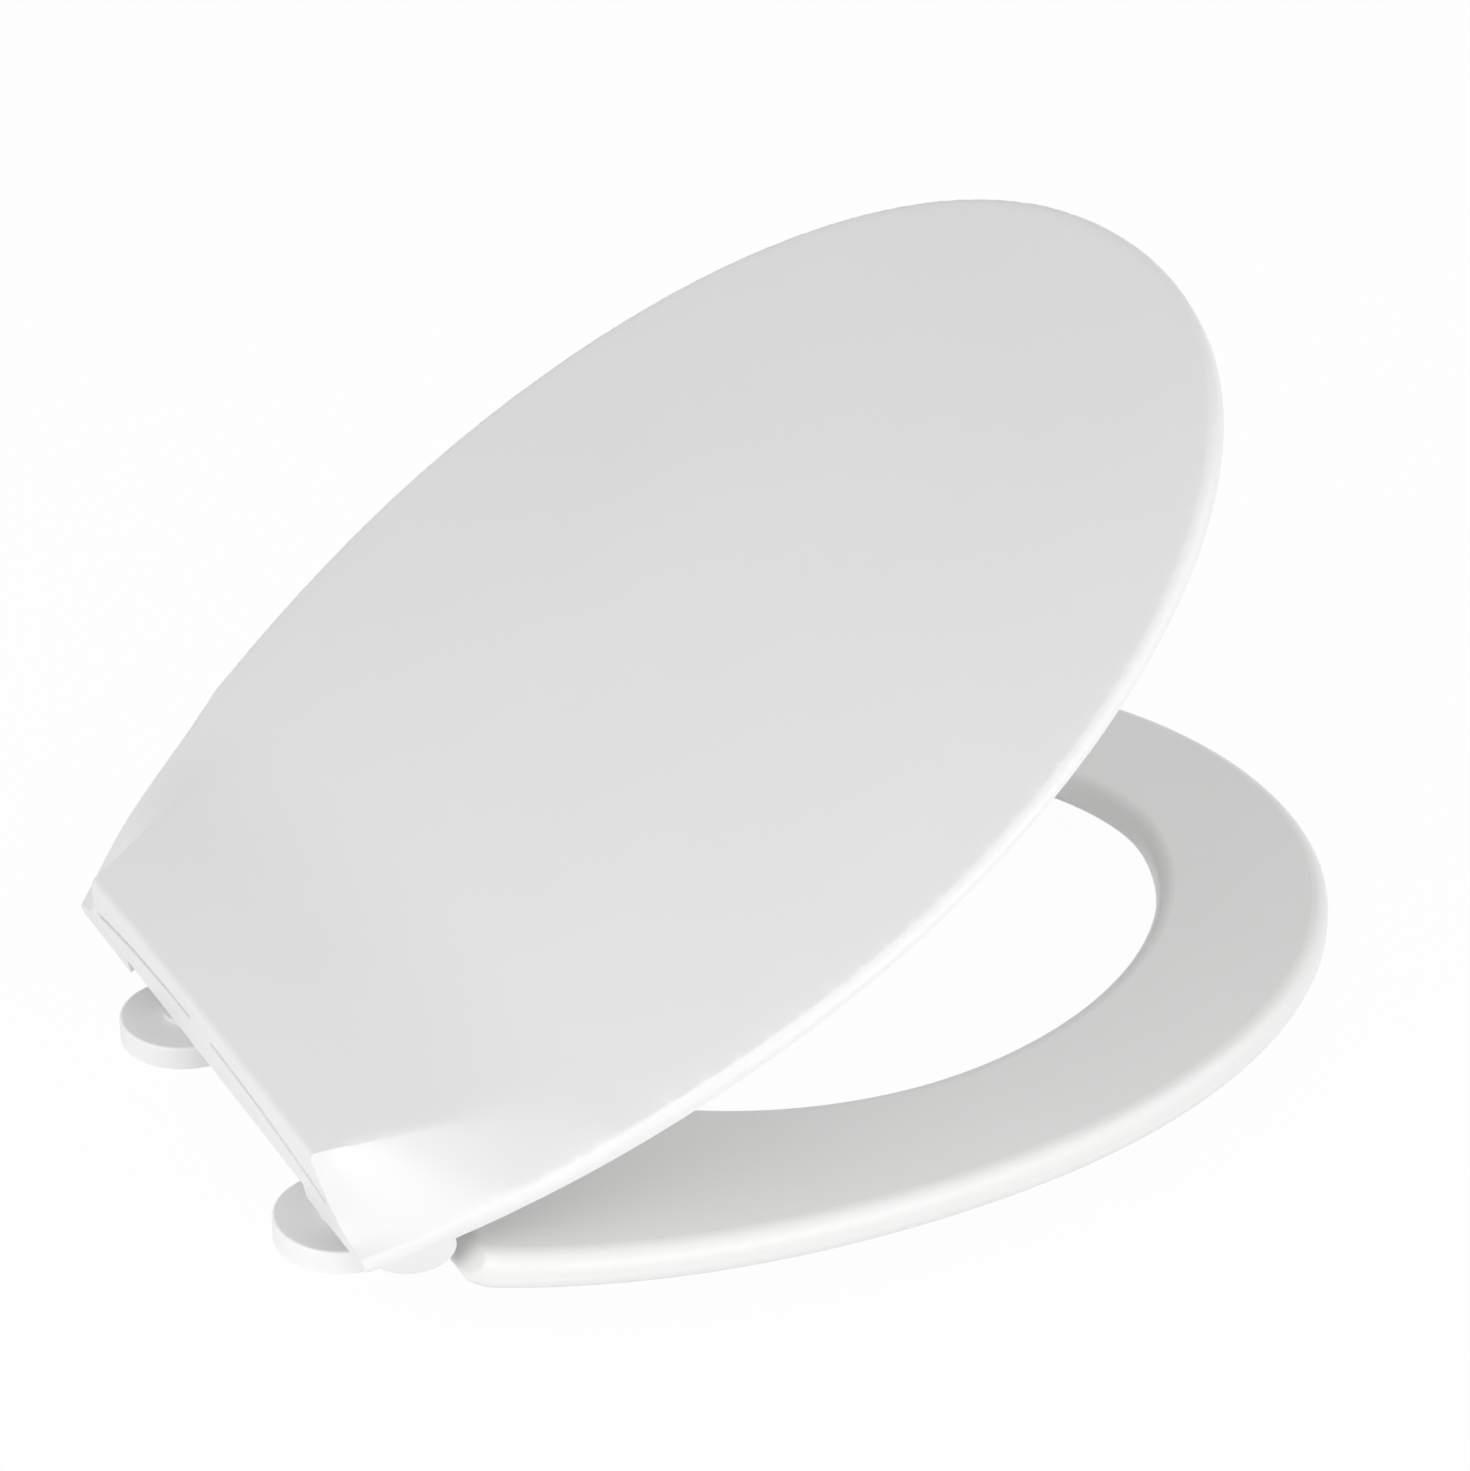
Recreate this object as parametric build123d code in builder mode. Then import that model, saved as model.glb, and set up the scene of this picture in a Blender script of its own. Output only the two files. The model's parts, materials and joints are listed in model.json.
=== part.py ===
"""Oval toilet seat: a hooded lid and a ring that turn on one hinge line over two round feet.

Millimetres, +Z up, front of the seat towards -Y. The origin lies on the bowl's rim, midway between
the two fixing holes. Every piece is modelled with lid and ring closed, then the lid is opened.
"""
import os
from math import cos, pi, sin, tan, radians

from build123d import *

os.makedirs("parts", exist_ok=True)

# Hinge line and opening
hinge_y = -3.0
hinge_z = 27.3
lid_open_angle = 34.0
side_clearance = 1.0
bore_clearance = 0.05
seat_clearance = 0.1

# Ring: plan outline, hole and section
ring_front_y = -420.0
ring_half_width = 185.0
ring_widest_y = -175.0
ring_tail_length = 250.0
ring_rear_y = -9.0
ring_corner_radius = 18.0
ring_end_radius = 3.0
ring_front_band = 62.0
ring_side_band = 60.6
hole_back_y = -60.0
hole_widest_y = -198.6
ring_bottom_z = 22.4
ring_top_z = 36.2
ring_edge_radius = 6.5
ring_foot_radius = 4.5
ring_wall = 6.0
ring_skin = 4.0
ring_end_slope = 30.0
rib_thickness = 2.2
rib_count = 18

# Lid: plan outline and section
lid_overhang = 1.0
lid_gap = 0.7
lid_widest_y = -185.0
lid_tail_length = 296.0
lid_front_thickness = 8.5
lid_crown_thickness = 10.5
lid_side_drop = 6.0
lid_edge_radius = 3.5
lid_skin = 3.0

# Hood over the hinge
hood_top_y = 2.2
hood_height = 30.1
hood_ramp_y = -60.0
hood_ramp_radius = 150.0
hood_wall_slope = 22.0
hood_edge_radius = 2.5
hood_mouth_rise = 15.0
groove_inner = 9.0
groove_outer_share = 0.543
groove_inner_drop = 9.4
groove_outer_drop = 18.0
groove_width = 2.6
groove_depth = 1.4

# Flanks beside the hood, as sections across the lid: y, then the crease, the middle and the outer end,
# each as a share of the lid's half width and a height above its underside
flank_stations = (
    (25.0, (0.452, 38.1), (0.516, 16.6), (0.704, 3.1)),
    (2.2, (0.519, 28.7), (0.578, 15.4), (0.747, 2.7)),
    (-18.0, (0.567, 22.5), (0.645, 14.6), (0.806, 2.3)),
    (-38.0, (0.618, 15.8), (0.699, 10.7), (0.855, 3.5)),
    (-60.0, (0.667, 10.1), (0.742, 8.1), (0.903, 4.1)),
    (-90.0, (0.747, 8.1), (0.817, 7.5), (0.957, 6.3)),
)
flank_reach = 60.0
flank_headroom = 58.0

# Side ears and hinge lugs of the lid
ear_centre_y = -2.5
ear_radius = 13.0
ear_drop = 9.5
lug_length = 15.0
lug_radius = 12.0
lug_rise = 6.1

# Hinge posts, feet and fixing
foot_spacing = 138.0
disc_radius = 24.0
disc_height = 8.75
disc_edge = 1.2
stem_radius = 7.0
barrel_radius = 10.5
barrel_length = 18.0
neck_width = 15.0
neck_depth = 13.0
flange_radius = 8.2
flange_height = 1.5
insert_radius = 4.5
insert_length = 12.0
thread_radius = 2.5

# Pivots and slow-closing dampers
pin_radius = 4.0
pin_gap = 1.0
socket_radius = 9.0
knuckle_radius = 12.0
knuckle_inner_x = 22.0
socket_floor = 3.0
damper_length = 30.0

# Buffers
buffer_radius = 8.0
buffer_stem_radius = 4.0
buffer_boss_radius = 7.5
ring_buffer_front_share = 0.443
ring_buffer_front_inset = 42.0
ring_buffer_rear_share = 0.638
ring_buffer_rear_y = -62.0
lid_buffer_share = 0.53
lid_buffer_inset = 54.0
lid_boss_rise = 3.5
lid_boss_radius = 8.5
lid_peg_radius = 2.5
lid_peg_length = 2.0
buffer_stem_length = 4.0
rest_gap = 0.3

# Derived sizes
foot_x = foot_spacing / 2
barrel_inner_x = foot_x - barrel_length / 2
barrel_outer_x = foot_x + barrel_length / 2
knuckle_outer_x = barrel_inner_x - side_clearance
lug_outer_x = barrel_outer_x + side_clearance + damper_length + socket_floor
lug_inner_x = lug_outer_x - lug_length
ring_height = ring_top_z - ring_bottom_z
hole_front_y = ring_front_y + ring_front_band
hole_half_width = ring_half_width - ring_side_band
lid_front_y = ring_front_y - lid_overhang
lid_half_width = ring_half_width + lid_overhang
lid_bottom_z = ring_top_z + lid_gap
lid_front_top_z = lid_bottom_z + lid_front_thickness
lid_crown_z = lid_bottom_z + lid_crown_thickness
lid_boss_z = lid_bottom_z + lid_boss_rise
lug_top_z = lid_bottom_z + lug_rise
hood_top_z = lid_bottom_z + hood_height
hood_mouth_z = hinge_z + hood_mouth_rise
hood_base_y = hood_top_y + hood_height * tan(radians(hood_wall_slope))
flank_top_z = lid_bottom_z + flank_headroom
lid_tail_y = hood_base_y + lid_edge_radius
ring_buffer_front = (ring_buffer_front_share * ring_half_width, ring_front_y + ring_buffer_front_inset)
ring_buffer_rear = (ring_buffer_rear_share * ring_half_width, ring_buffer_rear_y)
lid_buffer = (lid_buffer_share * ring_half_width, ring_front_y + lid_buffer_inset)
hinge_axis = Axis((0, hinge_y, hinge_z), (1, 0, 0))
hinge_plane = Plane(origin=(0, hinge_y, hinge_z), x_dir=(0, 1, 0), z_dir=(1, 0, 0))


def oval_half(half_width, widest_y, front_y, front_power, tail, tail_power, end_y):
    """Right half of an oval outline: superellipse quarters in front of and behind the widest line."""
    steps = 6
    front = widest_y - front_y
    points = []
    for i in range(steps + 1):
        angle = i / steps * pi / 2
        points.append((half_width * sin(angle) ** (2 / front_power),
                       widest_y - front * cos(angle) ** (2 / front_power)))
    reach = ((end_y - widest_y) / tail) ** (tail_power / 2)
    for i in range(1, 4):
        share = i / 3 * reach
        points.append((half_width * (1 - share ** 2) ** (1 / tail_power),
                       widest_y + tail * share ** (2 / tail_power)))
    return points


def hinge_plane_at(x):
    """Plane across the hinge line at x, with local axes along Y and Z and its origin on the line."""
    return hinge_plane.offset(x)


ring_outline = oval_half(ring_half_width, ring_widest_y, ring_front_y, 2.05,
                         ring_tail_length, 2.2, ring_rear_y)
hole_outline = oval_half(hole_half_width, hole_widest_y, hole_front_y, 1.85,
                         hole_back_y - hole_widest_y, 2.05, hole_back_y)
lid_outline = oval_half(lid_half_width, lid_widest_y, lid_front_y, 2.1,
                        lid_tail_length, 1.76, lid_tail_y)


def open_oval(points):
    """One smooth line round the front of an oval, from its left end to its right end."""
    left_half = [(-x, y) for x, y in reversed(points[1:])]
    Spline(*left_half, *points)


def closed_oval(points):
    """One smooth closed line through both halves of an oval."""
    left_half = [(-x, y) for x, y in reversed(points[1:-1])]
    Spline(*points, *left_half, periodic=True)


# Seat ring: a moulded oval, hollow and ribbed underneath, with two hinge knuckles at the back
bay_y = hinge_y - lug_radius - 2 * side_clearance
channel_rear_y = bay_y - 2 * ring_wall
channel_outline = oval_half(ring_half_width - ring_wall, ring_widest_y, ring_front_y + ring_wall, 2.05,
                            ring_tail_length, 2.2, channel_rear_y)
channel_hole = oval_half(hole_half_width + ring_wall, hole_widest_y, hole_front_y - ring_wall, 1.85,
                         hole_back_y + ring_wall - hole_widest_y, 2.05, hole_back_y + ring_wall)
end_run = ring_height * tan(radians(ring_end_slope))
ring_buffer_spots = [ring_buffer_front, (-ring_buffer_front[0], ring_buffer_front[1]),
                     ring_buffer_rear, (-ring_buffer_rear[0], ring_buffer_rear[1])]

with BuildPart() as seat_ring:
    with BuildSketch(Plane.XY.offset(ring_bottom_z)):
        with BuildLine():
            open_oval(ring_outline)
            Line(ring_outline[-1], (-ring_outline[-1][0], ring_rear_y))
        make_face()
        with BuildLine():
            closed_oval(hole_outline)
        make_face(mode=Mode.SUBTRACT)
    extrude(amount=ring_height)
    fillet(seat_ring.edges().filter_by(Axis.Z).group_by(Axis.Y)[-1], ring_corner_radius)
    fillet(seat_ring.faces().sort_by(Axis.Z)[-1].edges(), ring_edge_radius)
    fillet(seat_ring.faces().sort_by(Axis.Z)[0].edges(), ring_foot_radius)
    # Ends lean forward so that the lid's ears can swing past them
    with BuildSketch(Plane.YZ):
        with BuildLine():
            Polyline((ring_rear_y, ring_bottom_z), (ring_rear_y - end_run, ring_top_z),
                     (ring_rear_y + end_run, ring_top_z), (ring_rear_y + end_run, ring_bottom_z), close=True)
        make_face()
    extrude(amount=ring_half_width, both=True, mode=Mode.SUBTRACT)
    fillet(seat_ring.edges().filter_by(Axis.X).sort_by(Axis.Z)[-1], ring_end_radius)
    # Bay for the feet and the lid's lugs
    with BuildSketch(Plane.XY.offset(ring_bottom_z)):
        with BuildLine():
            Polyline((-lug_outer_x - side_clearance, bay_y), (lug_outer_x + side_clearance, bay_y),
                     (lug_outer_x + side_clearance, 0), (-lug_outer_x - side_clearance, 0), close=True)
        make_face()
    extrude(amount=ring_height, mode=Mode.SUBTRACT)
    # Hollow underside between ribs
    with BuildSketch(Plane.XY.offset(ring_bottom_z)):
        with BuildLine():
            open_oval(channel_outline)
            Line(channel_outline[-1], (-channel_outline[-1][0], channel_rear_y))
        make_face()
        with BuildLine():
            closed_oval(channel_hole)
        make_face(mode=Mode.SUBTRACT)
        with Locations((0, hole_widest_y)):
            with PolarLocations(0, rib_count, start_angle=10):
                Rectangle(2 * ring_half_width + ring_tail_length, rib_thickness, mode=Mode.SUBTRACT)
        with Locations(*ring_buffer_spots):
            Circle(buffer_boss_radius, mode=Mode.SUBTRACT)
    extrude(amount=ring_height - ring_skin, mode=Mode.SUBTRACT)
    with BuildSketch(Plane.XY.offset(ring_bottom_z)):
        with Locations(*ring_buffer_spots):
            Circle(buffer_stem_radius + bore_clearance)
    extrude(amount=buffer_stem_length + rest_gap, mode=Mode.SUBTRACT)
    # Knuckles with sockets open towards the posts
    for side in (-1, 1):
        with BuildSketch(hinge_plane_at(side * knuckle_inner_x)):
            Circle(knuckle_radius)
            with BuildLine():
                Polyline((0, ring_bottom_z - hinge_z), (0, ring_top_z - ring_skin - hinge_z),
                         (bay_y - ring_wall - hinge_y, ring_top_z - ring_skin - hinge_z),
                         (bay_y - ring_wall - hinge_y, ring_bottom_z - hinge_z), close=True)
            make_face()
        extrude(amount=side * (knuckle_outer_x - knuckle_inner_x))
        with BuildSketch(hinge_plane_at(side * (knuckle_inner_x + socket_floor))):
            Circle(socket_radius + seat_clearance)
        extrude(amount=side * (knuckle_outer_x - knuckle_inner_x), mode=Mode.SUBTRACT)
seat_ring.part.label = "seat_ring"
export_step(seat_ring.part, "parts/seat_ring.step")


# Lid: a crowned shell whose rear climbs into a hood over the hinge
wall_lean = tan(radians(hood_wall_slope))
ramp_slope = (hood_top_z - lid_crown_z) / (hood_top_y - hood_ramp_y)
profile_front_y = lid_front_y - 20.0
section_x = lid_half_width + 14.0


def lid_section(x, drop, inset, bottom_z):
    """Lengthwise section of the lid at x: top, ramp and rear wall, lowered by drop, thinned by inset."""
    ramp_z = lid_crown_z - drop - inset
    wall_y = hood_top_y - inset / cos(radians(hood_wall_slope))
    ramp_run = (hood_top_z - ramp_z + ramp_slope * hood_ramp_y) * wall_lean
    top_y = (wall_y + ramp_run) / (1 + ramp_slope * wall_lean)
    top_z = ramp_z + ramp_slope * (top_y - hood_ramp_y)
    base_y = wall_y + (hood_top_z - bottom_z) * wall_lean
    front_z = lid_front_top_z - drop - inset
    with BuildSketch(Plane.YZ.offset(x)) as section:
        with BuildLine():
            FilletPolyline((profile_front_y, front_z), (hood_ramp_y, ramp_z), (top_y, top_z),
                           radius=hood_ramp_radius)
            Polyline((top_y, top_z), (base_y, bottom_z), (profile_front_y, bottom_z),
                     (profile_front_y, front_z))
        make_face()
    return section.sketch.face()


def wall_middle_y(z):
    """Y of the middle of the rear wall's thickness at height z."""
    return hood_top_y - lid_skin / 2 / cos(radians(hood_wall_slope)) + (hood_top_z - z) * wall_lean


def lid_sections(inset, bottom_z):
    """Sections at both sides and the middle, which give the lid its crown."""
    return [lid_section(-section_x, lid_side_drop, inset, bottom_z),
            lid_section(0, 0, inset, bottom_z),
            lid_section(section_x, lid_side_drop, inset, bottom_z)]


def flank_sections(side, lowered):
    """Sections of the space above one flank of the lid, from its crease on the hood outward."""
    sections = []
    for y, crease, middle, end in flank_stations:
        points = [(side * share * lid_half_width, lid_bottom_z + rise - lowered)
                  for share, rise in (crease, middle, end)]
        reach_x = points[-1][0] + side * flank_reach
        with BuildSketch(Plane.XZ.offset(-y)) as section:
            with BuildLine():
                Spline(*points)
                Polyline(points[-1], (reach_x, points[-1][1]), (reach_x, flank_top_z),
                         (points[0][0], flank_top_z), points[0])
            make_face()
        sections.append(section.sketch.face())
    return sections


lid_hollow_outline = oval_half(lid_half_width - lid_skin, lid_widest_y, lid_front_y + lid_skin, 2.1,
                               lid_tail_length - lid_skin, 1.76, lid_tail_y)
hollow_bottom_z = hinge_z - lug_radius
flank_skin = 1.3 * lid_skin
lid_buffer_spots = [lid_buffer, (-lid_buffer[0], lid_buffer[1])]
wall_length_ratio = 1 / cos(radians(hood_wall_slope))
ear_centre_z = lid_bottom_z - ear_drop + ear_radius

with BuildPart() as lid_hollow:
    loft(lid_sections(lid_skin, hollow_bottom_z))
    loft(flank_sections(1, flank_skin), mode=Mode.SUBTRACT)
    loft(flank_sections(-1, flank_skin), mode=Mode.SUBTRACT)
    with BuildSketch(Plane.XY.offset(hollow_bottom_z)):
        with BuildLine():
            open_oval(lid_hollow_outline)
            Line(lid_hollow_outline[-1], (-lid_hollow_outline[-1][0], lid_tail_y))
        make_face()
    extrude(amount=flank_top_z, mode=Mode.INTERSECT)

with BuildPart() as lid_closed:
    loft(lid_sections(0, lid_bottom_z))
    # Ears that hang beside the hinge
    for side in (-1, 1):
        with BuildSketch(Plane.YZ.offset(side * (lug_outer_x + side_clearance))):
            with BuildLine():
                CenterArc((ear_centre_y, ear_centre_z), ear_radius, 180, 180)
                Line((ear_centre_y - ear_radius, ear_centre_z), (ear_centre_y + ear_radius, ear_centre_z))
            make_face()
        extrude(amount=side * (section_x - lug_outer_x))
    loft(flank_sections(1, 0), mode=Mode.SUBTRACT)
    loft(flank_sections(-1, 0), mode=Mode.SUBTRACT)
    with BuildSketch(Plane.XY.offset(hollow_bottom_z)):
        with BuildLine():
            open_oval(lid_outline)
            Line(lid_outline[-1], (-lid_outline[-1][0], lid_tail_y))
        make_face()
    extrude(amount=flank_top_z, mode=Mode.INTERSECT)
    rim_face = lid_closed.faces().filter_by(GeomType.EXTRUSION).sort_by(SortBy.AREA)[-1]
    fillet([edge for edge in rim_face.edges() if edge.center().Z > lid_bottom_z + lid_edge_radius],
           lid_edge_radius)
    fillet(lid_closed.edges().filter_by_position(Axis.Z, hood_top_z - 0.1, hood_top_z), hood_edge_radius)
    add(lid_hollow.part, mode=Mode.SUBTRACT)
    # Mouth in the rear wall, open above the feet
    with BuildSketch(Plane.XY.offset(hollow_bottom_z)):
        with Locations((0, hood_base_y)):
            Rectangle(2 * barrel_outer_x, 2 * ear_radius)
    extrude(amount=hood_mouth_z - hollow_bottom_z, mode=Mode.SUBTRACT)
    # Two arched grooves across the rear wall
    wall_plane = Plane(origin=(0, hood_top_y, hood_top_z), x_dir=(1, 0, 0), z_dir=(0, 1, wall_lean))
    groove_outer = groove_outer_share * lid_half_width
    for side in (-1, 1):
        with BuildSketch(wall_plane):
            with BuildLine() as groove_line:
                TangentArc((side * groove_inner, groove_inner_drop * wall_length_ratio),
                           (side * groove_outer, groove_outer_drop * wall_length_ratio), tangent=(side, 0))
            trace(groove_line.line, groove_width)
        extrude(amount=-groove_depth, mode=Mode.SUBTRACT)
    # Lugs with sockets open towards the posts
    for side in (-1, 1):
        with BuildSketch(hinge_plane_at(side * lug_inner_x)):
            Circle(lug_radius)
            with BuildLine():
                Polyline((-lug_radius, 0), (-lug_radius, lug_top_z - hinge_z),
                         (wall_middle_y(lug_top_z) - hinge_y, lug_top_z - hinge_z),
                         (wall_middle_y(lid_bottom_z) - hinge_y, lid_bottom_z - hinge_z),
                         (lug_radius, 0), close=True)
            make_face()
        extrude(amount=side * (lug_outer_x - lug_inner_x))
        with BuildSketch(hinge_plane_at(side * lug_inner_x)):
            Circle(socket_radius + seat_clearance)
        extrude(amount=side * (lug_outer_x - lug_inner_x - socket_floor), mode=Mode.SUBTRACT)
    # Bosses with pegs for the buffers
    with BuildSketch(Plane.XY.offset(lid_boss_z)):
        with Locations(*lid_buffer_spots):
            Circle(lid_boss_radius)
    extrude(amount=lid_skin)
    with BuildSketch(Plane.XY.offset(lid_boss_z)):
        with Locations(*lid_buffer_spots):
            Circle(lid_peg_radius)
    extrude(amount=-lid_peg_length)

with BuildPart() as lid:
    add(lid_closed.part.rotate(hinge_axis, -lid_open_angle))
lid.part.label = "lid"
export_step(lid.part, "parts/lid.step")


def lid_buffer_at(spot):
    """Rubber pad on a peg under the lid, turned with the lid."""
    with BuildPart() as pad:
        with BuildSketch(Plane.XY.offset(ring_top_z + rest_gap)):
            with Locations(spot):
                Circle(buffer_radius)
        extrude(amount=lid_boss_z - ring_top_z - rest_gap)
        fillet(pad.edges().group_by(Axis.Z)[0], 1.0)
        with BuildSketch(Plane.XY.offset(lid_boss_z)):
            with Locations(spot):
                Circle(lid_peg_radius + bore_clearance)
        extrude(amount=-lid_peg_length - rest_gap, mode=Mode.SUBTRACT)
    return pad.part.rotate(hinge_axis, -lid_open_angle)


with BuildPart() as lid_buffer_left:
    add(lid_buffer_at(lid_buffer_spots[1]))
lid_buffer_left.part.label = "lid_buffer_left"
export_step(lid_buffer_left.part, "parts/lid_buffer_left.step")

with BuildPart() as lid_buffer_right:
    add(lid_buffer_at(lid_buffer_spots[0]))
lid_buffer_right.part.label = "lid_buffer_right"
export_step(lid_buffer_right.part, "parts/lid_buffer_right.step")


def ring_buffer_at(spot):
    """Rubber foot under the ring, with a stem in the ring's boss."""
    with BuildPart() as foot:
        with BuildSketch():
            with Locations(spot):
                Circle(buffer_radius)
        extrude(amount=ring_bottom_z)
        fillet(foot.edges().group_by(Axis.Z)[0], 2.0)
        with BuildSketch(Plane.XY.offset(ring_bottom_z)):
            with Locations(spot):
                Circle(buffer_stem_radius)
        extrude(amount=buffer_stem_length)
    return foot.part


with BuildPart() as ring_buffer_front_left:
    add(ring_buffer_at(ring_buffer_spots[1]))
ring_buffer_front_left.part.label = "ring_buffer_front_left"
export_step(ring_buffer_front_left.part, "parts/ring_buffer_front_left.step")

with BuildPart() as ring_buffer_front_right:
    add(ring_buffer_at(ring_buffer_spots[0]))
ring_buffer_front_right.part.label = "ring_buffer_front_right"
export_step(ring_buffer_front_right.part, "parts/ring_buffer_front_right.step")

with BuildPart() as ring_buffer_rear_left:
    add(ring_buffer_at(ring_buffer_spots[3]))
ring_buffer_rear_left.part.label = "ring_buffer_rear_left"
export_step(ring_buffer_rear_left.part, "parts/ring_buffer_rear_left.step")

with BuildPart() as ring_buffer_rear_right:
    add(ring_buffer_at(ring_buffer_spots[2]))
ring_buffer_rear_right.part.label = "ring_buffer_rear_right"
export_step(ring_buffer_rear_right.part, "parts/ring_buffer_rear_right.step")


def disc_at(x):
    """Round foot that stands on the bowl and takes the post's stem."""
    with BuildPart() as disc:
        with BuildSketch():
            with Locations((x, 0)):
                Circle(disc_radius)
        extrude(amount=disc_height)
        fillet(disc.edges().group_by(Axis.Z)[-1], disc_edge)
        with BuildSketch():
            with Locations((x, 0)):
                Circle(stem_radius + seat_clearance)
        extrude(amount=disc_height, mode=Mode.SUBTRACT)
    return disc.part


with BuildPart() as hinge_disc_left:
    add(disc_at(-foot_x))
hinge_disc_left.part.label = "hinge_disc_left"
export_step(hinge_disc_left.part, "parts/hinge_disc_left.step")

with BuildPart() as hinge_disc_right:
    add(disc_at(foot_x))
hinge_disc_right.part.label = "hinge_disc_right"
export_step(hinge_disc_right.part, "parts/hinge_disc_right.step")


def post_at(x):
    """Post from the foot up to a barrel on the hinge line, with bores for two pins and one insert."""
    with BuildPart() as post:
        with BuildSketch():
            with Locations((x, 0)):
                Circle(stem_radius)
        extrude(amount=disc_height)
        with BuildSketch(Plane.XY.offset(disc_height)):
            with Locations((x, 0)):
                Circle(flange_radius)
        extrude(amount=flange_height)
        with BuildSketch(Plane.XY.offset(disc_height)):
            with Locations((x, hinge_y)):
                Rectangle(neck_width, neck_depth)
        extrude(amount=hinge_z - disc_height)
        with BuildSketch(hinge_plane_at(x)):
            Circle(barrel_radius)
        extrude(amount=barrel_length / 2, both=True)
        with BuildSketch():
            with Locations((x, 0)):
                Circle(insert_radius)
        extrude(amount=insert_length, mode=Mode.SUBTRACT)
        for side in (-1, 1):
            with BuildSketch(hinge_plane_at(x + side * pin_gap / 2)):
                Circle(pin_radius)
            extrude(amount=side * barrel_length, mode=Mode.SUBTRACT)
    return post.part


with BuildPart() as hinge_post_left:
    add(post_at(-foot_x))
hinge_post_left.part.label = "hinge_post_left"
export_step(hinge_post_left.part, "parts/hinge_post_left.step")

with BuildPart() as hinge_post_right:
    add(post_at(foot_x))
hinge_post_right.part.label = "hinge_post_right"
export_step(hinge_post_right.part, "parts/hinge_post_right.step")


def insert_at(x):
    """Brass insert whose thread takes the fixing bolt from below."""
    with BuildPart() as insert:
        with BuildSketch():
            with Locations((x, 0)):
                Circle(insert_radius)
                Circle(thread_radius, mode=Mode.SUBTRACT)
        extrude(amount=insert_length)
    return insert.part


with BuildPart() as threaded_insert_left:
    add(insert_at(-foot_x))
threaded_insert_left.part.label = "threaded_insert_left"
export_step(threaded_insert_left.part, "parts/threaded_insert_left.step")

with BuildPart() as threaded_insert_right:
    add(insert_at(foot_x))
threaded_insert_right.part.label = "threaded_insert_right"
export_step(threaded_insert_right.part, "parts/threaded_insert_right.step")


# Pivots: round pins held in the posts turn inside sleeves held by the ring and the lid
with BuildPart() as ring_pivot_pin:
    with BuildSketch(hinge_plane_at(-foot_x + pin_gap / 2)):
        Circle(pin_radius)
    extrude(amount=foot_x - pin_gap / 2 - knuckle_inner_x - socket_floor - pin_gap)
    chamfer(ring_pivot_pin.edges().group_by(Axis.X)[-1], 0.6)
ring_pivot_pin.part.label = "ring_pivot_pin"
export_step(ring_pivot_pin.part, "parts/ring_pivot_pin.step")

with BuildPart() as ring_pivot_bush:
    with BuildSketch(hinge_plane_at(-knuckle_outer_x)):
        Circle(socket_radius)
        Circle(pin_radius + bore_clearance, mode=Mode.SUBTRACT)
    extrude(amount=knuckle_outer_x - knuckle_inner_x - socket_floor)
ring_pivot_bush.part.label = "ring_pivot_bush"
export_step(ring_pivot_bush.part, "parts/ring_pivot_bush.step")

with BuildPart() as ring_damper_shaft:
    with BuildSketch(hinge_plane_at(foot_x - pin_gap / 2)):
        Circle(pin_radius)
    extrude(amount=-(foot_x - pin_gap / 2 - knuckle_inner_x - 2 * socket_floor - pin_gap))
    chamfer(ring_damper_shaft.edges().group_by(Axis.X)[0], 0.6)
ring_damper_shaft.part.label = "ring_damper_shaft"
export_step(ring_damper_shaft.part, "parts/ring_damper_shaft.step")

with BuildPart() as ring_damper_housing:
    with BuildSketch(hinge_plane_at(knuckle_outer_x)):
        Circle(socket_radius)
    extrude(amount=-(knuckle_outer_x - knuckle_inner_x - socket_floor))
    with BuildSketch(hinge_plane_at(knuckle_outer_x)):
        Circle(pin_radius + bore_clearance)
    extrude(amount=-(knuckle_outer_x - knuckle_inner_x - 2 * socket_floor), mode=Mode.SUBTRACT)
ring_damper_housing.part.label = "ring_damper_housing"
export_step(ring_damper_housing.part, "parts/ring_damper_housing.step")

with BuildPart() as lid_damper_housing:
    with BuildSketch(hinge_plane_at(-lug_outer_x + socket_floor)):
        Circle(socket_radius)
    extrude(amount=damper_length)
    with BuildSketch(hinge_plane_at(-lug_outer_x + 2 * socket_floor)):
        Circle(pin_radius + bore_clearance)
    extrude(amount=damper_length, mode=Mode.SUBTRACT)
lid_damper_housing.part.label = "lid_damper_housing"
export_step(lid_damper_housing.part, "parts/lid_damper_housing.step")

with BuildPart() as lid_damper_shaft:
    with BuildSketch(hinge_plane_at(-foot_x - pin_gap / 2)):
        Circle(pin_radius)
    extrude(amount=-(lug_outer_x - 2 * socket_floor - pin_gap - foot_x - pin_gap / 2))
    chamfer(lid_damper_shaft.edges().group_by(Axis.X)[0], 0.6)
lid_damper_shaft.part.label = "lid_damper_shaft"
export_step(lid_damper_shaft.part, "parts/lid_damper_shaft.step")

with BuildPart() as lid_pivot_pin:
    with BuildSketch(hinge_plane_at(foot_x + pin_gap / 2)):
        Circle(pin_radius)
    extrude(amount=lug_outer_x - socket_floor - pin_gap - foot_x - pin_gap / 2)
    chamfer(lid_pivot_pin.edges().group_by(Axis.X)[-1], 0.6)
lid_pivot_pin.part.label = "lid_pivot_pin"
export_step(lid_pivot_pin.part, "parts/lid_pivot_pin.step")

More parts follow.
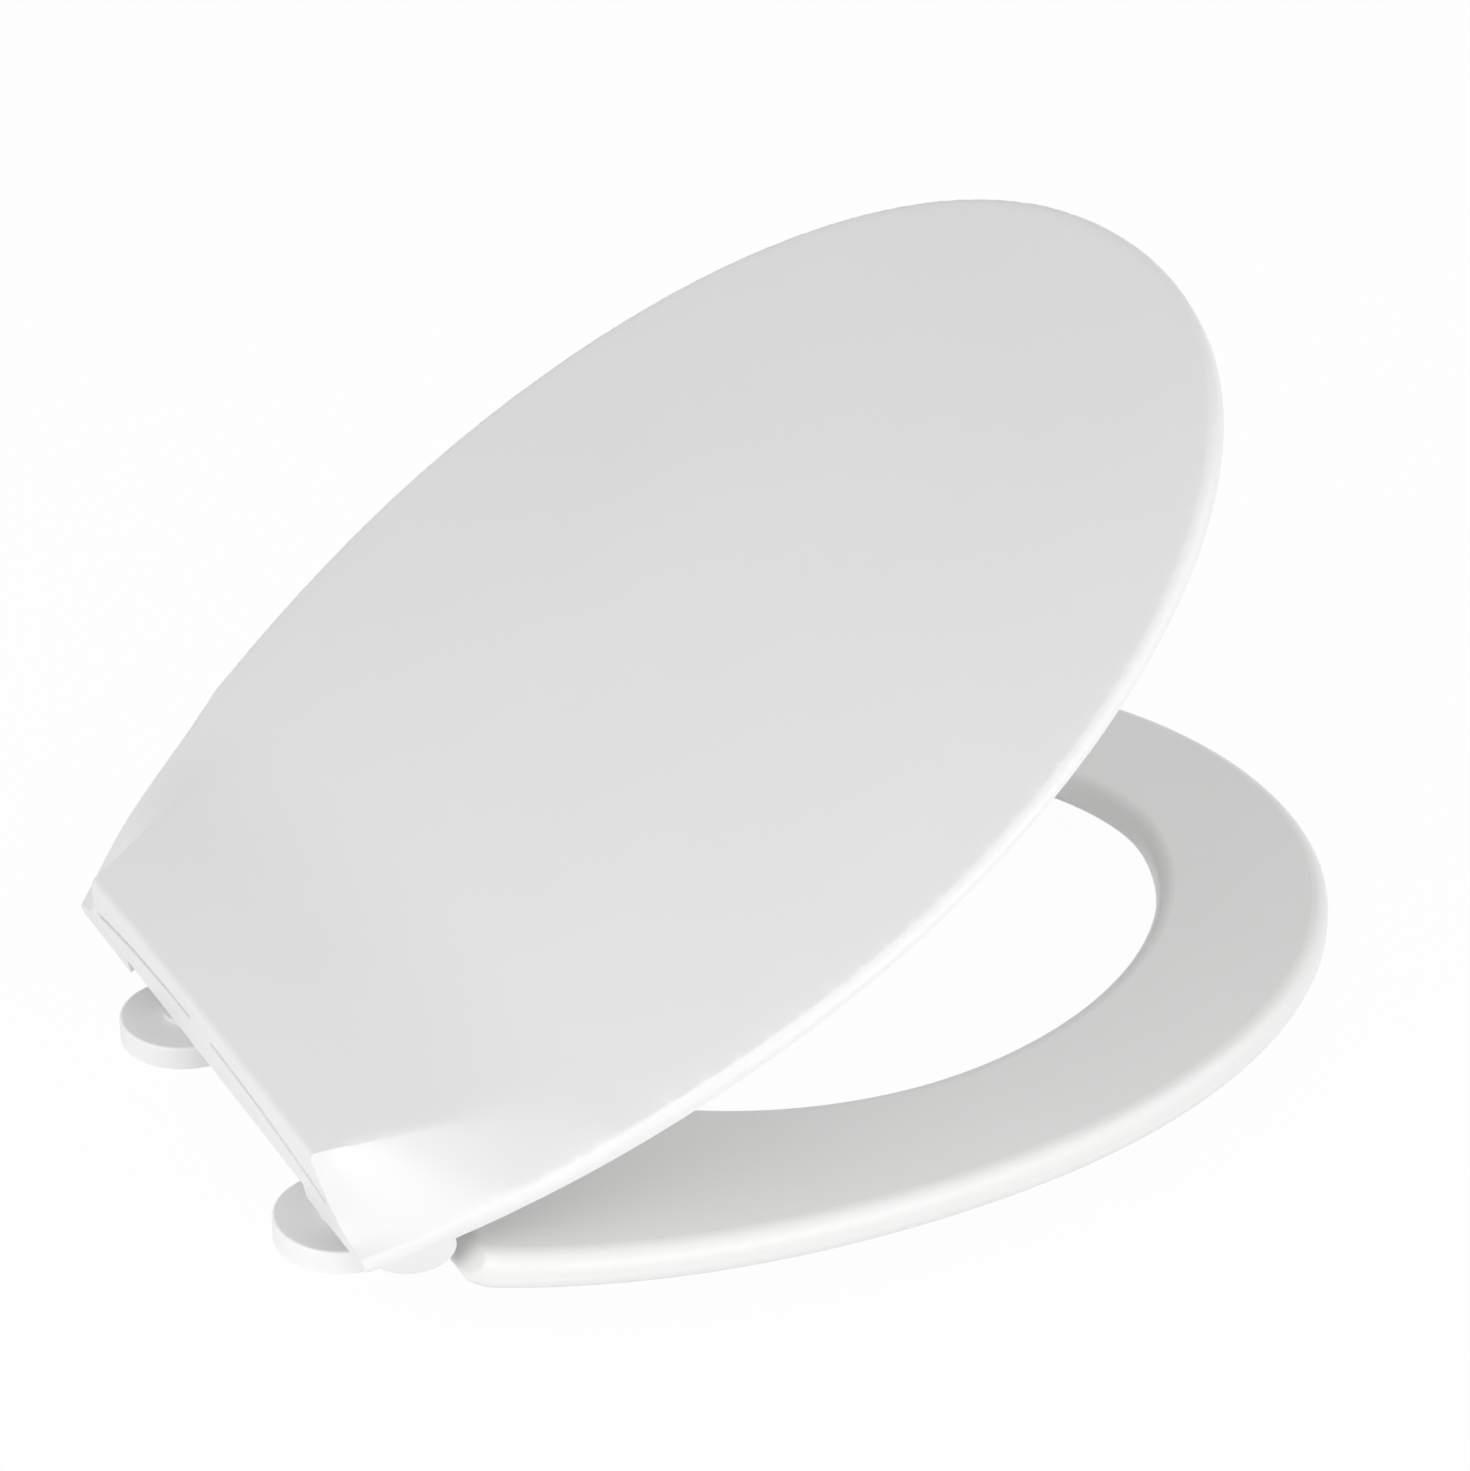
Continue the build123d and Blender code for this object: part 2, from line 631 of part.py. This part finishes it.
with BuildPart() as lid_pivot_bush:
    with BuildSketch(hinge_plane_at(lug_inner_x)):
        Circle(socket_radius)
        Circle(pin_radius + bore_clearance, mode=Mode.SUBTRACT)
    extrude(amount=lug_outer_x - lug_inner_x - socket_floor)
lid_pivot_bush.part.label = "lid_pivot_bush"
export_step(lid_pivot_bush.part, "parts/lid_pivot_bush.step")
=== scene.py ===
import json
import math

import bpy
import numpy as np
from mathutils import Matrix, Vector, kdtree


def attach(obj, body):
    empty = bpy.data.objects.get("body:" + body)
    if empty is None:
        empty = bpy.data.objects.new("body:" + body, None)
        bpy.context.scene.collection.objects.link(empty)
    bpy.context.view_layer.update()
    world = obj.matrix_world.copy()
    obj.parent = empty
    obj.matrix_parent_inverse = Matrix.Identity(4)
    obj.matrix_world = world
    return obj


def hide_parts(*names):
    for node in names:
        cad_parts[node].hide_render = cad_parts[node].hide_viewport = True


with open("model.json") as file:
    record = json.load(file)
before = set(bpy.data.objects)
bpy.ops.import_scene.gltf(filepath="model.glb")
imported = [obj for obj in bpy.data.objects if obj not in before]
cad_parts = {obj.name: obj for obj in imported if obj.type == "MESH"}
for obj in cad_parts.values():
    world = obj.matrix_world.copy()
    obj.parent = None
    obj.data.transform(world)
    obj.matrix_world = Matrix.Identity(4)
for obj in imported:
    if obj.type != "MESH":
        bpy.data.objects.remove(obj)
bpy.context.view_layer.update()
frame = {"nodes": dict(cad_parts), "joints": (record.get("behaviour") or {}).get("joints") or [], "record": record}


# Nodes that the materials and the backdrop are made of

NOISE_LOW, NOISE_HIGH = 0.15, 0.85  # nearly all values of a noise lie between these
MIX_SOCKETS = {"FLOAT": (2, 3, 0), "RGBA": (6, 7, 2)}  # both inputs and the result, by what is mixed


def new_material(name):
    """Node material with a plain Principled shader; returns material, nodes, links and the shader."""
    material = bpy.data.materials.new(name)
    material.use_nodes = True
    nodes = material.node_tree.nodes
    links = material.node_tree.links
    shader = nodes["Principled BSDF"]
    return material, nodes, links, shader


def noise_of(nodes, links, scale, detail, stretch=(1.0, 1.0, 1.0)):
    """Noise in the object's own space, in cells per metre."""
    place = nodes.new("ShaderNodeTexCoord")
    mapping = nodes.new("ShaderNodeMapping")
    mapping.inputs["Scale"].default_value = stretch
    noise = nodes.new("ShaderNodeTexNoise")
    noise.inputs["Scale"].default_value = scale
    noise.inputs["Detail"].default_value = detail
    links.new(place.outputs["Object"], mapping.inputs["Vector"])
    links.new(mapping.outputs["Vector"], noise.inputs["Vector"])
    return noise.outputs["Fac"]


def ramp_of(nodes, links, source, low, high):
    """Colour that goes from low to high with a noise."""
    ramp = nodes.new("ShaderNodeValToRGB")
    stops = zip(ramp.color_ramp.elements, (NOISE_LOW, NOISE_HIGH), (low, high))
    for element, position, colour in stops:
        element.position = position
        element.color = (*colour, 1.0)
    links.new(source, ramp.inputs["Fac"])
    return ramp.outputs["Color"]


def range_of(nodes, links, source, low, high):
    """Value that goes from low to high with a noise."""
    mapped = nodes.new("ShaderNodeMapRange")
    mapped.inputs["From Min"].default_value = NOISE_LOW
    mapped.inputs["From Max"].default_value = NOISE_HIGH
    mapped.inputs["To Min"].default_value = low
    mapped.inputs["To Max"].default_value = high
    links.new(source, mapped.inputs["Value"])
    return mapped.outputs["Result"]


def bump_of(nodes, links, source, strength, distance):
    """Normal that a noise raises and lowers."""
    bump = nodes.new("ShaderNodeBump")
    bump.inputs["Strength"].default_value = strength
    bump.inputs["Distance"].default_value = distance
    links.new(source, bump.inputs["Height"])
    return bump.outputs["Normal"]


def math_of(nodes, links, operation, first, second, clamp=False):
    """Result of a Math node, whose two inputs are sockets or plain numbers."""
    node = nodes.new("ShaderNodeMath")
    node.operation = operation
    node.use_clamp = clamp
    for socket, value in zip(node.inputs, (first, second)):
        if isinstance(value, bpy.types.NodeSocket):
            links.new(value, socket)
        else:
            socket.default_value = value
    return node.outputs["Value"]


def mix_into(nodes, links, socket, share, kind, value):
    """Mixes a plain value into what already feeds a socket, by a share."""
    first, second, result = MIX_SOCKETS[kind]
    mix = nodes.new("ShaderNodeMix")
    mix.data_type = kind
    links.new(share, mix.inputs["Factor"])
    links.new(socket.links[0].from_socket, mix.inputs[first])
    mix.inputs[second].default_value = value
    links.new(mix.outputs[result], socket)


# Materials

PLASTIC_IOR = 1.5
INSERT_COVER = 0.0101  # height over which the inserts look like the posts' plastic
INSERT_COVER_COLOUR = (0.81, 0.81, 0.81)
INSERT_COVER_ROUGH = 0.30


def moulded_plastic(name, low, high, rough, peel_scale, peel_strength):
    """Injection-moulded plastic: faint tone drift, flow-dependent gloss and a fine orange peel."""
    material, nodes, links, shader = new_material(name)
    tone = noise_of(nodes, links, scale=9.0, detail=3.0)
    flow = noise_of(nodes, links, scale=22.0, detail=4.0, stretch=(1.0, 0.35, 1.0))
    peel = noise_of(nodes, links, scale=peel_scale, detail=2.0)
    bump = bump_of(nodes, links, peel, strength=peel_strength, distance=0.0002)
    links.new(ramp_of(nodes, links, tone, low, high), shader.inputs["Base Color"])
    links.new(range_of(nodes, links, flow, *rough), shader.inputs["Roughness"])
    links.new(bump, shader.inputs["Normal"])
    shader.inputs["IOR"].default_value = PLASTIC_IOR
    return material


def turned_metal(name, low, high, rough):
    """Turned metal with fine marks round the hinge line."""
    material, nodes, links, shader = new_material(name)
    marks = noise_of(nodes, links, scale=90.0, detail=5.0, stretch=(40.0, 1.0, 1.0))
    bump = bump_of(nodes, links, marks, strength=0.12, distance=0.0001)
    links.new(ramp_of(nodes, links, marks, low, high), shader.inputs["Base Color"])
    links.new(range_of(nodes, links, marks, *rough), shader.inputs["Roughness"])
    links.new(bump, shader.inputs["Normal"])
    shader.inputs["Metallic"].default_value = 1.0
    return material


def moulded_over(material, height, colour, rough):
    """Turns a metal into moulded plastic above a height, where the post's wall should cover it."""
    nodes = material.node_tree.nodes
    links = material.node_tree.links
    shader = nodes["Principled BSDF"]
    place = nodes.new("ShaderNodeTexCoord")
    axes = nodes.new("ShaderNodeSeparateXYZ")
    links.new(place.outputs["Object"], axes.inputs["Vector"])
    above = math_of(nodes, links, "GREATER_THAN", axes.outputs["Z"], height)
    mix_into(nodes, links, shader.inputs["Base Color"], above, "RGBA", (*colour, 1.0))
    mix_into(nodes, links, shader.inputs["Roughness"], above, "FLOAT", rough)
    links.new(math_of(nodes, links, "SUBTRACT", 1.0, above), shader.inputs["Metallic"])


gloss = {"rough": (0.27, 0.34), "peel_scale": 700.0, "peel_strength": 0.035}
satin = {"rough": (0.33, 0.40), "peel_scale": 900.0, "peel_strength": 0.06}
matt = {"rough": (0.50, 0.62), "peel_scale": 1500.0, "peel_strength": 0.25}
soft = {"rough": (0.66, 0.78), "peel_scale": 2200.0, "peel_strength": 0.35}
white = moulded_plastic("white_moulding", (0.80, 0.80, 0.80), (0.826, 0.826, 0.826), **gloss)
ring_white = moulded_plastic("ring_moulding", (0.80, 0.802, 0.792), (0.826, 0.828, 0.818), **gloss)
# Hinge discs: the lid's white made brighter, as painted light that makes up for the shade the lid's hood casts on
# their tops
foot_white_painted_light = moulded_plastic("foot_moulding_painted_light", (0.87, 0.87, 0.87), (0.90, 0.90, 0.90), **satin)
grey = moulded_plastic("grey_plastic", (0.17, 0.175, 0.18), (0.21, 0.215, 0.22), **matt)
rubber = moulded_plastic("buffer_rubber", (0.60, 0.605, 0.61), (0.66, 0.665, 0.67), **soft)
steel = turned_metal("pin_steel", (0.50, 0.51, 0.52), (0.62, 0.63, 0.64), rough=(0.24, 0.38))
brass = turned_metal("insert_brass", (0.60, 0.44, 0.18), (0.72, 0.55, 0.26), rough=(0.28, 0.42))
moulded_over(brass, INSERT_COVER, INSERT_COVER_COLOUR, INSERT_COVER_ROUGH)

slot_materials = {
    "white_moulding": white,
    "grey_plastic": grey,
    "pin_steel": steel,
    "insert_brass": brass,
    "buffer_rubber": rubber,
}
own_materials = {
    "seat_ring": ring_white,
    "hinge_disc_left": foot_white_painted_light,
    "hinge_disc_right": foot_white_painted_light,
}
slots = {entry["node"]: entry["material_slot"] for entry in frame["record"]["subparts"]}
for name, node in frame["nodes"].items():
    node.data.materials.clear()
    node.data.materials.append(own_materials.get(name, slot_materials[slots[name]]))


# Lid with the front ends of its creases faded and its rim rounded a little wider than the solid's

# Limits and steps of the mesh work
TINY_LENGTH = 1e-12
TINY_AREA = 1e-30
TINY_GAP = 1e-7
SLIVER = 1e-6  # a triangle this flat has no useful shares of its corners
WELD_DIGITS = 5  # vertices that agree to so many decimals of a metre are one
FINE_EDGE = 0.0026  # edges longer than this are cut in the refined zones
REFINE_PASSES = 8
SMOOTH_STEPS = 80
SMOOTH_PACE = 0.5  # share of the way to the neighbours' mean in one step
BEND_GAIN = 20.0  # from a weight of 1 / 20 on, a corner takes the smoothed normal alone

# Places on the closed lid: heights in Z, front and rear in Y, inside in X from the middle line
lid_joint = next(joint for joint in frame["joints"] if joint["name"] == "lid_hinge")
HINGE = np.array(Vector(lid_joint["pos_m"]))
LID_OPEN = math.radians(-lid_joint["range_deg"][0])
OVAL_MIDDLE = np.array((0.0, -0.21))
WALL_OUTWARD = 0.8  # the rim's upright wall has normals that point outward by this or more
WALL_FOOT = 0.038
WALL_REAR = -0.012

# Zones that are refined
RIM_ZONE_WIDTH = 0.013
RIM_ZONE_FOOT = 0.037
FLANK_ZONE_INSIDE = 0.084
FLANK_ZONE_FRONT = -0.185
FLANK_ZONE_REAR = -0.004
FLANK_ZONE_UPWARD = 0.2

# Zones that are smoothed; a pair says where the smoothing begins and where it is full
SMOOTH_FOOT = 0.0385
RIM_WEIGHT = 0.14
RIM_PLACE_SHARE = 0.35  # at the rim, places are smoothed less than normals
RIM_FADE_ACROSS = (0.010, 0.004)
RIM_FADE_ALONG = (WALL_REAR, -0.03)
RIM_UPWARD = -0.2
CREASE_WEIGHT = 0.05  # at its rear the crease stays almost as it is
CREASE_FADE_ALONG = (-0.034, -0.062)
FLANK_FADE_RIM = (0.003, 0.011)
FLANK_FADE_FRONT = (-0.18, -0.15)
FLANK_FADE_INSIDE = (0.088, 0.1)
FLANK_REAR = -0.008
FLANK_UPWARD = 0.5


def unit(vectors):
    """Vectors of length 1."""
    return vectors / np.maximum(np.linalg.norm(vectors, axis=-1, keepdims=True), TINY_LENGTH)


def dot(first, second):
    """Dot products of the rows of two arrays."""
    return (first * second).sum(axis=1)


def smooth_step(low, high, value):
    """Rises smoothly from 0 at low to 1 at high; falls where high lies below low."""
    share = np.clip((value - low) / (high - low), 0.0, 1.0)
    return share * share * (3.0 - 2.0 * share)


def sides_of(faces):
    """Start and end of each triangle's three sides, in order."""
    return np.stack((faces, np.roll(faces, -1, axis=1)), axis=2).reshape(-1, 2)


def read_lid():
    """Vertices, triangles and corner normals of the lid's solid."""
    source = frame["nodes"]["lid"].data
    places = np.array([vert.co for vert in source.vertices])
    faces = np.array([polygon.vertices for polygon in source.polygons])
    bends = np.array([corner.vector for corner in source.corner_normals]).reshape(-1, 3, 3)
    return places, faces, bends


def weld(places, faces):
    """Joins vertices at one place and drops collapsed triangles; also gives each triangle's old number."""
    rounded = np.round(places, WELD_DIGITS)
    _, chosen, joined = np.unique(rounded, axis=0, return_index=True, return_inverse=True)
    faces = joined.reshape(-1)[faces]
    origin = np.flatnonzero((faces != np.roll(faces, 1, axis=1)).all(axis=1))
    return places[chosen], faces[origin], origin


def closed_state(places, faces):
    """Places and normals with the lid closed, and each place's distance from the rim's upright wall."""
    spin = np.array(Matrix.Rotation(LID_OPEN, 3, "X"))
    points = (places - HINGE) @ spin.T + HINGE
    first, second, third = (points[faces[:, k]] for k in range(3))
    tilts = np.cross(second - first, third - first)
    normals = np.zeros_like(points)
    for k in range(3):
        np.add.at(normals, faces[:, k], tilts)
    normals = unit(normals)
    outward = dot(normals[:, :2], unit(points[:, :2] - OVAL_MIDDLE))
    wall = points[(outward > WALL_OUTWARD) & (points[:, 2] > WALL_FOOT) & (points[:, 1] < WALL_REAR)]
    tree = kdtree.KDTree(len(wall))
    for index, point in enumerate(wall):
        tree.insert(Vector(point), index)
    tree.balance()
    return points, normals, np.array([tree.find(Vector(point))[2] for point in points])


def split_face(face, half):
    """Triangles that one becomes; half has the new vertex on each side that is cut, or else -1."""
    cuts = [k for k in range(3) if half[k] >= 0]
    if not cuts:
        return [face]
    if len(cuts) == 3:
        a, b, c = face
        ab, bc, ca = half
        return [(a, ab, ca), (ab, b, bc), (ca, bc, c), (ab, bc, ca)]
    start = cuts[0] if len(cuts) == 1 else (half.index(-1) + 1) % 3
    a, b, c = face[start], face[start - 2], face[start - 1]
    ab, bc = half[start], half[start - 2]
    if len(cuts) == 1:
        return [(a, ab, c), (ab, b, c)]
    return [(ab, b, bc), (a, ab, bc), (a, bc, c)]


def split_long_edges(places, faces, origin, near):
    """Cuts the long edges that meet a near vertex in half, and the triangles that share them."""
    edges, of_side = np.unique(np.sort(sides_of(faces), axis=1), axis=0, return_inverse=True)
    starts, ends = places[edges[:, 0]], places[edges[:, 1]]
    cut = (np.linalg.norm(starts - ends, axis=1) > FINE_EDGE) & near[edges].any(axis=1)
    middle_of = np.where(cut, len(places) + np.cumsum(cut) - 1, -1)
    halves = middle_of[of_side.reshape(-1)].reshape(-1, 3)
    pieces, parents = [], []
    for face, half, parent in zip(faces.tolist(), halves.tolist(), origin.tolist()):
        parts = split_face(face, half)
        pieces.extend(parts)
        parents.extend([parent] * len(parts))
    places = np.concatenate((places, (starts[cut] + ends[cut]) / 2))
    return places, np.array(pieces), np.array(parents)


def refine(places, faces, origin):
    """Makes the triangles small along the rim and on the flanks."""
    for _ in range(REFINE_PASSES):
        points, normals, distance = closed_state(places, faces)
        across, along, height = np.abs(points[:, 0]), points[:, 1], points[:, 2]
        rim = (distance < RIM_ZONE_WIDTH) & (height > RIM_ZONE_FOOT)
        flank = (along > FLANK_ZONE_FRONT) & (along < FLANK_ZONE_REAR)
        flank &= (across > FLANK_ZONE_INSIDE) & (normals[:, 2] > FLANK_ZONE_UPWARD)
        places, faces, origin = split_long_edges(places, faces, origin, rim | flank)
    return places, faces, origin


def corner_normals(places, faces, triangles, bends):
    """Each corner's normal, from the solid's triangle that it lies in and that triangle's own normals."""
    first, second, third = (triangles[:, k] for k in range(3))
    side_a, side_b = second - first, third - first
    aa, ab, bb = dot(side_a, side_a), dot(side_a, side_b), dot(side_b, side_b)
    area = aa * bb - ab * ab
    sliver = (area < SLIVER * aa * bb)[:, None]
    area = np.maximum(area, TINY_AREA)
    result = np.empty((len(faces), 3, 3))
    for k in range(3):
        here = places[faces[:, k]]
        on_a, on_b = dot(here - first, side_a), dot(here - first, side_b)
        share_b = (bb * on_a - ab * on_b) / area
        share_c = (aa * on_b - ab * on_a) / area
        shares = np.clip(np.stack((1.0 - share_b - share_c, share_b, share_c), axis=1), 0.0, 1.0)
        gaps = np.stack([np.linalg.norm(here - end, axis=1) for end in (first, second, third)], axis=1)
        shares = np.where(sliver, 1.0 / (gaps + TINY_GAP), shares)
        result[:, k] = (shares[:, :, None] * bends).sum(axis=1)
    return unit(result).reshape(-1, 3)


def fade_weights(points, normals, distance):
    """How much each vertex's place and its normal are smoothed."""
    across, along, height = np.abs(points[:, 0]), points[:, 1], points[:, 2]
    upward = normals[:, 2]
    rim = RIM_WEIGHT * smooth_step(*RIM_FADE_ACROSS, distance) * smooth_step(*RIM_FADE_ALONG, along)
    rim *= (upward > RIM_UPWARD) & (height > SMOOTH_FOOT)
    flank = CREASE_WEIGHT + (1.0 - CREASE_WEIGHT) * smooth_step(*CREASE_FADE_ALONG, along)
    flank *= (
        smooth_step(*FLANK_FADE_RIM, distance)
        * smooth_step(*FLANK_FADE_FRONT, along)
        * smooth_step(*FLANK_FADE_INSIDE, across)
    )
    flank *= (upward > FLANK_UPWARD) & (along < FLANK_REAR) & (height > SMOOTH_FOOT)
    return np.maximum(RIM_PLACE_SHARE * rim, flank)[:, None], np.maximum(rim, flank)[:, None]


def neighbour_mean(values, starts, ends):
    """Mean of the values at each vertex's neighbours."""
    count = np.bincount(starts, minlength=len(values)).astype(float)[:, None]
    sums = [np.bincount(starts, values[ends, k], len(values)) for k in range(3)]
    return np.stack(sums, axis=1) / count


def smooth(places, faces, bends):
    """Smooths the places along their normals, and the normals; bends are the corners' own normals."""
    place_weights, bend_weights = fade_weights(*closed_state(places, faces))
    corners = faces.reshape(-1)
    normals = np.zeros_like(places)
    np.add.at(normals, corners, bends)
    normals = unit(normals)
    starts, ends = sides_of(faces).T
    for _ in range(SMOOTH_STEPS):
        shift = dot(neighbour_mean(places, starts, ends) - places, normals)[:, None]
        turn = neighbour_mean(normals, starts, ends) - normals
        places = places + SMOOTH_PACE * place_weights * shift * normals
        normals = unit(normals + SMOOTH_PACE * bend_weights * turn)
    share = np.clip(bend_weights[corners] * BEND_GAIN, 0.0, 1.0)
    return places, unit((1.0 - share) * bends + share * normals[corners])


def soft_lid():
    """Copy of the lid, refined and smoothed where the real one is softer."""
    solid_places, solid_faces, solid_bends = read_lid()
    places, faces, origin = refine(*weld(solid_places, solid_faces))
    triangles = solid_places[solid_faces[origin]]
    bends = corner_normals(places, faces, triangles, solid_bends[origin])
    places, bends = smooth(places, faces, bends)
    mesh = bpy.data.meshes.new("lid_shell")
    mesh.from_pydata(places.tolist(), [], faces.tolist())
    mesh.shade_smooth()
    mesh.normals_split_custom_set(bends.tolist())
    mesh.materials.append(white)
    shell = bpy.data.objects.new("lid_shell", mesh)
    bpy.context.scene.collection.objects.link(shell)
    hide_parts("lid")
    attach(shell, "lid")


soft_lid()


# Floor and backdrop

PLAIN_WHITE = (1.0, 1.0, 1.0, 1.0)
FLOOR_SIZE = 12.0
FLOOR_CENTRE = (0.0, -0.2, -0.0005)
FLOOR_COLOUR = (0.92, 0.92, 0.92, 1.0)
FLOOR_ROUGH = 0.9
FLOOR_WHITE = 0.97  # the rest is the lit floor, with the object's shadow
AMBIENT = 0.45


def level_square(name, size, centre):
    """Square plane that lies level."""
    half = size / 2
    x, y, z = centre
    signs = ((-1, -1), (1, -1), (1, 1), (-1, 1))
    mesh = bpy.data.meshes.new(name)
    mesh.from_pydata([(x + i * half, y + j * half, z) for i, j in signs], [], [(0, 1, 2, 3)])
    plane = bpy.data.objects.new(name, mesh)
    bpy.context.scene.collection.objects.link(plane)
    return plane


def show_backdrop(nodes, links, lit, plain, amount, output):
    """Shows an amount of plain white in place of what is lit to camera, glossy and transmission rays."""
    path = nodes.new("ShaderNodeLightPath")
    seen = math_of(nodes, links, "ADD", path.outputs["Is Camera Ray"], path.outputs["Is Glossy Ray"])
    seen = math_of(nodes, links, "ADD", seen, path.outputs["Is Transmission Ray"], clamp=True)
    mix = nodes.new("ShaderNodeMixShader")
    factor, lit_input, plain_input = mix.inputs
    links.new(math_of(nodes, links, "MULTIPLY", seen, amount), factor)
    links.new(lit, lit_input)
    links.new(plain, plain_input)
    links.new(mix.outputs["Shader"], output.inputs["Surface"])


floor = level_square("floor", FLOOR_SIZE, FLOOR_CENTRE)
floor_material, nodes, links, shader = new_material("floor_white")
shader.inputs["Base Color"].default_value = FLOOR_COLOUR
shader.inputs["Roughness"].default_value = FLOOR_ROUGH
glow = nodes.new("ShaderNodeEmission")
glow.inputs["Color"].default_value = PLAIN_WHITE
glow.inputs["Strength"].default_value = 1.0
surface = nodes["Material Output"]
show_backdrop(nodes, links, shader.outputs["BSDF"], glow.outputs["Emission"], FLOOR_WHITE, surface)
floor.data.materials.append(floor_material)

world = bpy.data.worlds.new("studio")
bpy.context.scene.world = world
world.use_nodes = True
nodes = world.node_tree.nodes
links = world.node_tree.links
ambient = nodes["Background"]
backdrop = nodes.new("ShaderNodeBackground")
for background, strength in ((ambient, AMBIENT), (backdrop, 1.0)):
    background.inputs["Color"].default_value = PLAIN_WHITE
    background.inputs["Strength"].default_value = strength
surface = nodes["World Output"]
show_backdrop(nodes, links, ambient.outputs["Background"], backdrop.outputs["Background"], 1.0, surface)


# Lights

LIGHT_TARGET = Vector((0.0, -0.2, 0.08))


def softbox(name, position, width, height, power):
    """Large rectangular area light aimed at the seat."""
    data = bpy.data.lights.new(name, "AREA")
    data.shape = "RECTANGLE"
    data.size = width
    data.size_y = height
    data.energy = power
    lamp = bpy.data.objects.new(name, data)
    bpy.context.scene.collection.objects.link(lamp)
    lamp.location = position
    lamp.rotation_euler = (LIGHT_TARGET - Vector(position)).to_track_quat("-Z", "Y").to_euler()


softbox("rear_box", (-0.4, 1.2, 0.8), width=1.7, height=1.2, power=12.4)
softbox("side_box", (-1.9, -0.1, 0.5), width=1.6, height=1.1, power=8.5)
softbox("front_box", (-1.3, -1.7, 1.05), width=2.8, height=1.9, power=19.0)


# Camera at the photograph's place

PHOTO_WIDTH = 1470.0  # pixels
FOCAL_LENGTH = 4218.0  # pixels of the photograph
SENSOR_WIDTH = 36.0

azimuth = math.radians(240.49)
elevation = math.radians(29.24)
roll = math.radians(1.27)
distance = 1.59154
aim = Vector((0.06349, -0.22303, 0.07))
level = math.cos(elevation)
back = Vector((math.sin(azimuth) * level, -math.cos(azimuth) * level, math.sin(elevation)))
right = Vector((math.cos(azimuth), math.sin(azimuth), 0.0))
up = back.cross(right)
rolled_right = right * math.cos(roll) + up * math.sin(roll)
rolled_up = up * math.cos(roll) - right * math.sin(roll)
camera_data = bpy.data.cameras.new("camera")
camera_data.sensor_fit = "HORIZONTAL"
camera_data.sensor_width = SENSOR_WIDTH
camera_data.lens = FOCAL_LENGTH / PHOTO_WIDTH * SENSOR_WIDTH
camera_data.clip_end = 50.0
camera = bpy.data.objects.new("camera", camera_data)
bpy.context.scene.collection.objects.link(camera)
turn = Matrix((rolled_right, rolled_up, back)).transposed().to_4x4()
camera.matrix_world = Matrix.Translation(aim + back * distance) @ turn
bpy.context.scene.camera = camera

bpy.context.scene.view_settings.view_transform = "Standard"
